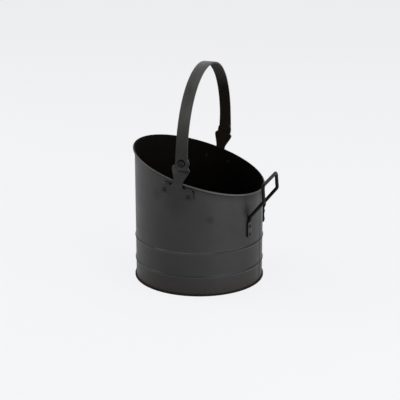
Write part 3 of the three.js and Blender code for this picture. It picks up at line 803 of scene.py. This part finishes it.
class SCUTTLE_OT_ears(bpy.types.Operator):
    """Cuts and joggles the two riveted ears"""
    bl_idname = "scuttle.ears"
    bl_label = "Ears"

    def execute(self, context):
        bucket, ear = sizes("bucket"), sizes("ear")
        rows = ear_rows(ear)
        columns = 24
        middle = ear_middle(bucket, ear)
        deselect()
        bpy.ops.mesh.primitive_grid_add(x_subdivisions=columns, y_subdivisions=len(rows) - 1, size=1,
                                        location=middle, rotation=(pi / 2, 0, 0))
        plate = named("ear_plate_left")
        heights = sorted({round(point.co.z, 5) for point in plate.data.vertices}, reverse=True)
        members = [[point.index for point in plate.data.vertices if abs(point.co.z - z) < 1e-4]
                   for z in heights]
        edit(plate)
        for (half, up), row, z in zip(rows, members, heights):
            mesh = bmesh.from_edit_mesh(plate.data)
            mesh.verts.ensure_lookup_table()
            bpy.ops.mesh.select_all(action="DESELECT")
            for index in row:
                mesh.verts[index].select_set(True)
            bmesh.update_edit_mesh(plate.data)
            stretch((2 * half, 1, 1), middle)
            move((0, 0, middle.z + up - z))
        bpy.ops.mesh.select_all(action="SELECT")
        turn(ear.tilt, "Y", middle)
        done()
        self.wrap(plate, bucket, ear, middle)
        modifier(plate, "SOLIDIFY", thickness=ear.thickness, offset=-1.0, use_even_offset=False)
        tidy(plate)
        bevel(plate, 0.5 * MM, 2, 40)
        pierce(plate, ear_rivet_places(bucket, ear)[:2], sizes("rivets").ear_shank)
        pierce(plate, pivot_places(bucket, ear.thickness)[:1], sizes("rivets").pivot_shank)

        def choose(face):
            out = copysign(1, face.center.y) * face.normal.y
            # The wings' side faces take painted shade.
            side_face = out < 0.6 and face.center.z < PIVOT.z - ear.pivot_rise - ear.wing_drop / 2
            return 2 if side_face else out < -0.6

        other = self.mirrored(plate)
        for piece, node in ((plate, "ear_left"), (other, "ear_right")):
            dress(piece, "bucket", ("ear_black", "inner_face", "edge_soot"), choose)
            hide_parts(node)
        return {"FINISHED"}

    @staticmethod
    def wrap(plate, bucket, ear, middle):
        """Lays the foot of the plate round the wall, below the joggle."""
        wing_top, _ = ear_heights(ear)
        top = wing_top + ear.joggle / 2
        down = Vector((-sin(ear.tilt), 0, -cos(ear.tilt)))
        foot = plate.vertex_groups.new(name="foot")
        for point in plate.data.vertices:
            drop = (point.co - middle).dot(down)
            foot.add([point.index], ease((drop + top) / ear.joggle), "REPLACE")
        deselect()
        bpy.ops.mesh.primitive_cylinder_add(vertices=4 * WALL_SIDES, radius=bucket.radius + CLEARANCE,
                                            depth=0.6, location=(0, 0, 0.2))
        former = bpy.context.object
        modifier(plate, "SHRINKWRAP", target=former, wrap_method="PROJECT", use_project_y=True,
                 use_negative_direction=True, use_positive_direction=False, vertex_group="foot")
        bpy.data.objects.remove(former)
        plate.vertex_groups.clear()

    @staticmethod
    def mirrored(plate):
        only(plate)
        bpy.ops.object.duplicate()
        other = named("ear_plate_right")
        edit(other)
        stretch((1, -1, 1))
        done()
        tidy(other)
        return other


# ---- rivets -------------------------------------------------------------------------------------

def make_rivet(head, rise, shank, grip):
    """A domed head above Z = 0, a shank through the grip and a flatter closed tail."""
    tail, tail_rise = 0.8 * head, 0.62 * rise
    domed, under = [], -grip - CLEARANCE
    for i in range(1, 7):
        lean = pi / 2 * i / 7
        domed.append((head * cos(lean) ** 0.8, CLEARANCE + rise * sin(lean)))
    closed = [(head, CLEARANCE), (shank, CLEARANCE), (shank, under), (tail, under)]
    for i in range(1, 6):
        lean = pi / 2 * i / 6
        closed.append((tail * cos(lean) ** 0.8, under - tail_rise * sin(lean)))
    rivet = turned_loop("rivet_blank", [*reversed(domed), *closed], 32)
    edit(rivet)
    for height in (domed[-1][1], closed[-1][1]):
        pick(rivet, lambda co: abs(co.z - height) < TOUCH)
        draw_out((0, 0, 0))
        bpy.ops.mesh.merge(type="CENTER")
        move((0, 0, copysign(0.02 * rise, height)))
    done()
    tidy(rivet)
    smooth(rivet, 50)
    for face in rivet.data.polygons:
        # The head's sideways rim takes the inner finish as painted shade; the tail keeps the inner finish.
        seat = face.center.z > 0 and face.normal.z < 0.35
        face.material_index = int(seat or face.center.z < -grip)
    return rivet


def set_rivets(kind, grip, places, paint):
    """Makes one rivet and drives a copy in at each place, its head facing away."""
    rivets = sizes("rivets")
    rivet = make_rivet(*(getattr(rivets, f"{kind}_{part}") for part in ("head", "rise", "shank")), grip)
    for number, (place, away) in enumerate(places, 1):
        only(rivet)
        bpy.ops.object.duplicate()
        upright = Vector(away).to_track_quat("Z", "Y").to_matrix().to_4x4()
        bpy.context.object.matrix_world = Matrix.Translation(place) @ upright
        copy = named(f"{kind}_rivet_head_{number}")
        dress(copy, "bucket", (paint, "inner_face"))
        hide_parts(f"{kind}_rivet_{number}")
    bpy.data.objects.remove(rivet)
    return {"FINISHED"}


def wall_place(bearing, radius, height):
    away = Vector((cos(bearing), sin(bearing), 0))
    return away * radius + Vector((0, 0, height)), away


def ear_rivet_places(bucket, ear):
    """Place and direction of each ear rivet, on the plates' outer face."""
    _, foot = ear_heights(ear)
    places = []
    for side in (1, -1):
        for hand in (-1, 1):
            right, up = hand * ear.rivet_spread, foot + ear.rivet_lift
            x = PIVOT.x + right * cos(ear.tilt) + up * sin(ear.tilt)
            z = PIVOT.z - right * sin(ear.tilt) + up * cos(ear.tilt)
            bearing = side * (pi / 2 - x / bucket.radius)
            places.append(wall_place(bearing, bucket.radius + CLEARANCE + ear.thickness, z))
    return places


def foot_rivet_places(bucket, handle):
    """Place and direction of each foot rivet, on the feet's outer face."""
    radius = bucket.radius + CLEARANCE + handle.foot_thickness
    return [wall_place(side * handle.bearing, radius, height)
            for side in (-1, 1) for height in (handle.low_rivet, handle.high_rivet)]


def pivot_places(bucket, grip):
    """Place and direction of each pivot rivet, a grip away from the ears' inner face."""
    out = rim_outside(bucket) + CLEARANCE + grip
    return [(Vector((PIVOT.x, side * out, PIVOT.z)), (0, side, 0)) for side in (1, -1)]


class SCUTTLE_OT_ear_rivets(bpy.types.Operator):
    """Rivets the ears to the wall"""
    bl_idname = "scuttle.ear_rivets"
    bl_label = "Ear rivets"

    def execute(self, context):
        bucket, ear = sizes("bucket"), sizes("ear")
        grip = ear.thickness + CLEARANCE + bucket.sheet
        return set_rivets("ear", grip, ear_rivet_places(bucket, ear), "rivet_black")


class SCUTTLE_OT_pivot_rivets(bpy.types.Operator):
    """Rivets the bail's ends to the ears"""
    bl_idname = "scuttle.pivot_rivets"
    bl_label = "Pivot rivets"

    def execute(self, context):
        bucket, ear, bail = sizes("bucket"), sizes("ear"), sizes("bail")
        grip = ear.thickness + bail.play + bail.thickness
        return set_rivets("pivot", grip, pivot_places(bucket, grip), "pivot_black")


class SCUTTLE_OT_foot_rivets(bpy.types.Operator):
    """Rivets the tipping handle's feet to the wall"""
    bl_idname = "scuttle.foot_rivets"
    bl_label = "Foot rivets"

    def execute(self, context):
        bucket, handle = sizes("bucket"), sizes("handle")
        grip = handle.foot_thickness + CLEARANCE + bucket.sheet
        return set_rivets("foot", grip, foot_rivet_places(bucket, handle), "rivet_black")


# ---- bail ---------------------------------------------------------------------------------------

def strap_half_width(bail, up):
    """Half the strap's width at a height above the pivot."""
    half = (bail.width + (bail.end_width - bail.width) * ease((bail.flare - up) / bail.flare)) / 2
    missing = bail.end_corner - min(up + bail.end_drop, bail.end_corner)
    return half - bail.end_corner + sqrt(bail.end_corner ** 2 - missing ** 2)


def arch_bends(bail, span):
    """Radius of the arch's crown and the turn of its sides, for two arcs that meet smoothly."""
    height = bail.rise - bail.thickness / 2 - bail.leg
    side = bail.side_radius
    crown = (side ** 2 - (side - span) ** 2 - height ** 2) / (2 * (side - height))
    return crown, atan2(height - crown, side - span)


class SCUTTLE_OT_bail(bpy.types.Operator):
    """Bends the strap bail"""
    bl_idname = "scuttle.bail"
    bl_label = "Bail"

    def execute(self, context):
        bucket, ear, bail = sizes("bucket"), sizes("ear"), sizes("bail")
        span = rim_outside(bucket) + CLEARANCE + ear.thickness + bail.play + bail.thickness / 2
        heights = [bail.end_corner * (1 - cos(pi / 2 * i / 8)) - bail.end_drop for i in range(9)]
        heights += [0.0] + [bail.flare * i / 8 for i in range(1, 5) if bail.flare * i / 8 < bail.leg]
        heights.append(bail.leg)
        half = strap_half_width(bail, heights[0] + 1e-5)
        deselect()
        bpy.ops.mesh.primitive_plane_add(size=1, location=(0, span, heights[0]))
        bar = named("bail_bar")
        edit(bar)
        stretch((2 * half, bail.thickness, 1), (0, span, heights[0]))
        for before, up in zip(heights, heights[1:]):
            draw_out((0, 0, up - before))
            wide = strap_half_width(bail, up)
            stretch((wide / half, 1, 1))
            half = wide
        crown, side_turn = arch_bends(bail, span)
        centre = Vector((0, span - bail.side_radius, bail.leg))
        steps = 16
        for i in range(steps):
            draw_out((0, 0, 0))
            turn(side_turn / steps, "X", centre)
            up = bail.leg + bail.side_radius * sin(side_turn * (i + 1) / steps)
            wide = strap_half_width(bail, up)
            stretch((wide / half, 1, 1))
            half = wide
        centre = Vector((0, 0, bail.rise - bail.thickness / 2 - crown))
        steps = 24
        for i in range(steps):
            draw_out((0, 0, 0))
            turn((pi / 2 - side_turn) / steps, "X", centre)
        bpy.ops.mesh.delete(type="ONLY_FACE")
        done()
        mirror_halves(bar)
        edit(bar)
        turn(bail.lean, "Y")
        move(PIVOT)
        done()
        tidy(bar)
        bevel(bar, 0.6 * MM, 3, 50)
        pierce(bar, pivot_places(bucket, ear.thickness + bail.play), sizes("rivets").pivot_shank)

        def choose(face):
            inward = Vector((0, -face.center.y, PIVOT.z + bail.leg - face.center.z))
            return abs(face.normal.x) < 0.5 and face.normal.dot(inward.normalized()) > 0.1

        dress(bar, "bail", ("strap_black", "inner_face"), choose)
        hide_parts("bail_strap")
        return {"FINISHED"}


# ---- tipping handle -----------------------------------------------------------------------------

def bend_rod(place, corner, following, radius):
    """Draws the selected loop out to a bend and spins it round; returns where it ends."""
    back, on = (place - corner).normalized(), (following - corner).normalized()
    half = back.angle(on) / 2
    setback = radius / tan(half)
    start, end = corner + back * setback, corner + on * setback
    centre = corner + (back + on).normalized() * (radius / sin(half))
    draw_out(start - place)
    axis = (start - centre).cross(end - centre).normalized()
    swing = (start - centre).angle(end - centre)
    bpy.ops.mesh.spin(steps=12, angle=-swing, center=tuple(centre), axis=tuple(axis), dupli=False)
    return end


class SCUTTLE_OT_handle(bpy.types.Operator):
    """Bends the tipping handle from a rod and presses its feet flat"""
    bl_idname = "scuttle.handle"
    bl_label = "Tipping handle"

    def execute(self, context):
        bucket, handle = sizes("bucket"), sizes("handle")
        flat_x = bucket.radius + CLEARANCE + handle.foot_thickness / 2
        rod_x = bucket.radius + CLEARANCE + handle.rod
        tip = handle.foot_width / 2
        flat_end = handle.foot_tip + handle.foot_length
        stations = []
        for i in range(7):
            lean = pi / 2 * i / 6
            stations.append((handle.foot_tip + tip * (1 - cos(lean)), max(0.12, sin(lean)) * tip, flat_x, 1))
        stations.append((flat_end - handle.foot_taper, tip, flat_x, 1))
        for i in range(1, 7):
            share = ease(i / 6)
            stations.append((flat_end - handle.foot_taper * (1 - i / 6), tip + (handle.rod - tip) * share,
                             flat_x + (rod_x - flat_x) * share, 1 - share))
        deselect()
        z, half, x, flat = stations[0]
        thick = self.depth(handle, flat)
        bpy.ops.mesh.primitive_circle_add(vertices=24, radius=1, location=(x, 0, z))
        rod = named("handle_rod")
        edit(rod)
        stretch((thick, half, 1), (x, 0, z))
        loops = [(z, x, flat)]
        for new_z, new_half, new_x, new_flat in stations[1:]:
            draw_out((new_x - x, 0, new_z - z))
            new_thick = self.depth(handle, new_flat)
            stretch((new_thick / thick, new_half / half, 1), (new_x, 0, new_z))
            z, half, x, flat, thick = new_z, new_half, new_x, new_flat, new_thick
            loops.append((z, x, flat))
        for z, x, flat in loops:
            reach = handle.foot_thickness / 2 * flat + handle.rod * (1 - flat)
            for hand in (-1, 1):
                pick(rod, lambda co: abs(co.z - z) < TOUCH and hand * (co.x - x) > reach)
                if any(point.select for point in bmesh.from_edit_mesh(rod.data).verts):
                    stretch((0, 1, 1), (x + hand * reach, 0, 0))
        pick(rod, lambda co: abs(co.z - handle.foot_tip) < TOUCH)
        bpy.ops.mesh.edge_face_add()
        bpy.ops.mesh.select_all(action="SELECT")
        turn(handle.bearing, "Z")
        pick(rod, lambda co: abs(co.z - flat_end) < TOUCH)
        place, _ = wall_place(handle.bearing, rod_x, flat_end)
        foot_bend, _ = wall_place(handle.bearing, rod_x, handle.foot_bend)
        corner = Vector((bucket.radius + handle.corner_reach, handle.corner_spread, handle.corner_height))
        grip = Vector((bucket.radius + handle.grip_reach, handle.grip_half, handle.grip_height))
        place = bend_rod(place, foot_bend, corner, handle.bend)
        place = bend_rod(place, corner, grip, handle.bend)
        place = bend_rod(place, grip, Vector((grip.x, 0, grip.z)), handle.bend)
        draw_out((0, -place.y, 0))
        done()
        mirror_halves(rod)
        tidy(rod)
        pierce(rod, foot_rivet_places(bucket, handle), sizes("rivets").foot_shank)

        def choose(face):
            # The feet's flat outer faces take the lighter copy of the rod's paint, as painted light.
            away = Vector((face.center.x, face.center.y, 0)).normalized()
            return face.center.z < flat_end and away.dot(face.normal) > 0.9

        dress(rod, "bucket", ("rod_black", "foot_black"), choose)
        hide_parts("tipping_handle")
        return {"FINISHED"}

    @staticmethod
    def depth(handle, flat):
        """Half depth of the loop before it is pressed flat."""
        return handle.rod * (1 - flat) + 1.6 * handle.foot_thickness / 2 * flat


# ---- stage --------------------------------------------------------------------------------------

def aimed(name, data, place, aim):
    """Stands a lamp or the camera at a place, looking at another."""
    holder = bpy.data.objects.new(name, data)
    holder.location = place
    holder.rotation_euler = (Vector(aim) - Vector(place)).to_track_quat("-Z", "Y").to_euler()
    bpy.context.scene.collection.objects.link(holder)
    return holder


class SCUTTLE_OT_stage(bpy.types.Operator):
    """Sets the pale floor, the soft lights and the camera"""
    bl_idname = "scuttle.stage"
    bl_label = "Stage"

    def execute(self, context):
        stage = sizes("stage")
        scene = context.scene
        scene.view_settings.view_transform = "Standard"
        self.floor()
        self.world(scene)
        for name, place, aim_height, size, watts in LAMPS:
            lamp = bpy.data.lights.new(name, "AREA")
            lamp.shape, lamp.size, lamp.size_y, lamp.energy = "RECTANGLE", *size, watts
            aimed(name, lamp, place, (0, 0, aim_height))
        side, rise = stage.azimuth, stage.elevation
        back = Vector((sin(side) * cos(rise), -cos(side) * cos(rise), sin(rise)))
        right = Vector((cos(side), sin(side), 0))
        place = Vector((0, 0, stage.middle)) + back * stage.distance
        aim = Vector((0, 0, stage.aim_height)) + right * stage.aim_side
        view = bpy.data.cameras.new("camera")
        view.lens = stage.lens
        view.sensor_fit = "HORIZONTAL"
        scene.camera = aimed("camera", view, place, aim)
        return {"FINISHED"}

    @staticmethod
    def floor():
        deselect()
        bpy.ops.mesh.primitive_plane_add(size=30, location=(0, 0, 0))
        ground = named("floor")
        pale = Finish("floor_paper")
        tone = sizes("colours").floor
        across = pale.add("ShaderNodeSeparateXYZ", {"Vector": pale.mapped((0.5, 0.5, 0.5))}).outputs
        # A faint painted light falloff across the floor.
        light_falloff = pale.between(pale.math("SUBTRACT", across["X"], across["Y"]), -1.5, 1.0)
        paper = pale.mix(light_falloff, shade_of(tone, 0.998), shade_of(tone, 1.02))
        pale.give({"Base Color": paper, "Roughness": 0.9, "Specular IOR Level": 0.1})
        glow = pale.add("ShaderNodeEmission", {"Color": paper})
        seen = pale.add("ShaderNodeLightPath").outputs["Is Camera Ray"]
        blend = pale.add("ShaderNodeMixShader", {0: pale.math("MULTIPLY", seen, 0.88), 1: pale.shader.outputs[0],
                                                 2: glow.outputs[0]})
        pale.plug(blend.outputs[0], pale.nodes["Material Output"].inputs["Surface"])
        ground.data.materials.append(pale.material)

    @staticmethod
    def world(scene):
        sky = bpy.data.worlds.new("soft_white")
        sky.use_nodes = True
        nodes, links = sky.node_tree.nodes, sky.node_tree.links
        light, seen = nodes["Background"], nodes.new("ShaderNodeBackground")
        for shade, strength in ((light, 0.25), (seen, 1.0)):
            shade.inputs["Color"].default_value = (1, 1, 1, 1)
            shade.inputs["Strength"].default_value = strength
        path = nodes.new("ShaderNodeLightPath").outputs
        rays = path["Is Camera Ray"]
        for kind in ("Is Glossy Ray", "Is Transmission Ray"):
            either = nodes.new("ShaderNodeMath")
            either.operation = "MAXIMUM"
            links.new(rays, either.inputs[0])
            links.new(path[kind], either.inputs[1])
            rays = either.outputs[0]
        blend = nodes.new("ShaderNodeMixShader")
        for source, socket in zip((rays, light.outputs[0], seen.outputs[0]), blend.inputs):
            links.new(source, socket)
        links.new(blend.outputs[0], nodes["World Output"].inputs["Surface"])
        scene.world = sky


# ---- add-on -------------------------------------------------------------------------------------

GROUPS = {"bucket": BucketSizes, "ear": EarSizes, "bail": BailSizes, "handle": HandleSizes,
          "rivets": RivetSizes, "colours": Colours, "stage": StageSizes}

STEPS = (SCUTTLE_OT_stage, SCUTTLE_OT_wall, SCUTTLE_OT_base, SCUTTLE_OT_rim_wire, SCUTTLE_OT_ears,
         SCUTTLE_OT_ear_rivets, SCUTTLE_OT_bail, SCUTTLE_OT_pivot_rivets, SCUTTLE_OT_handle, SCUTTLE_OT_foot_rivets)


class SCUTTLE_PT_panel(bpy.types.Panel):
    """Lists the scuttle's pieces and sizes"""
    bl_idname = "SCUTTLE_PT_panel"
    bl_label = "Coal scuttle"
    bl_space_type = "VIEW_3D"
    bl_region_type = "UI"
    bl_category = "Scuttle"

    def draw(self, context):
        for step in STEPS:
            self.layout.operator(step.bl_idname)
        for name, group in GROUPS.items():
            box = self.layout.box()
            box.label(text=name.capitalize())
            for key in group.__annotations__:
                box.prop(sizes(name), key)


def register():
    for group in GROUPS.values():
        bpy.utils.register_class(group)
    for name, group in GROUPS.items():
        setattr(bpy.types.Scene, "scuttle_" + name, PointerProperty(type=group))
    for step in (*STEPS, SCUTTLE_PT_panel):
        bpy.utils.register_class(step)


def unregister():
    for step in reversed((*STEPS, SCUTTLE_PT_panel)):
        bpy.utils.unregister_class(step)
    for name in GROUPS:
        delattr(bpy.types.Scene, "scuttle_" + name)
    for group in reversed(GROUPS.values()):
        bpy.utils.unregister_class(group)


def main():
    register()
    for step in STEPS:
        group, name = step.bl_idname.split(".")
        getattr(getattr(bpy.ops, group), name)()


if __name__ == "__main__":
    main()
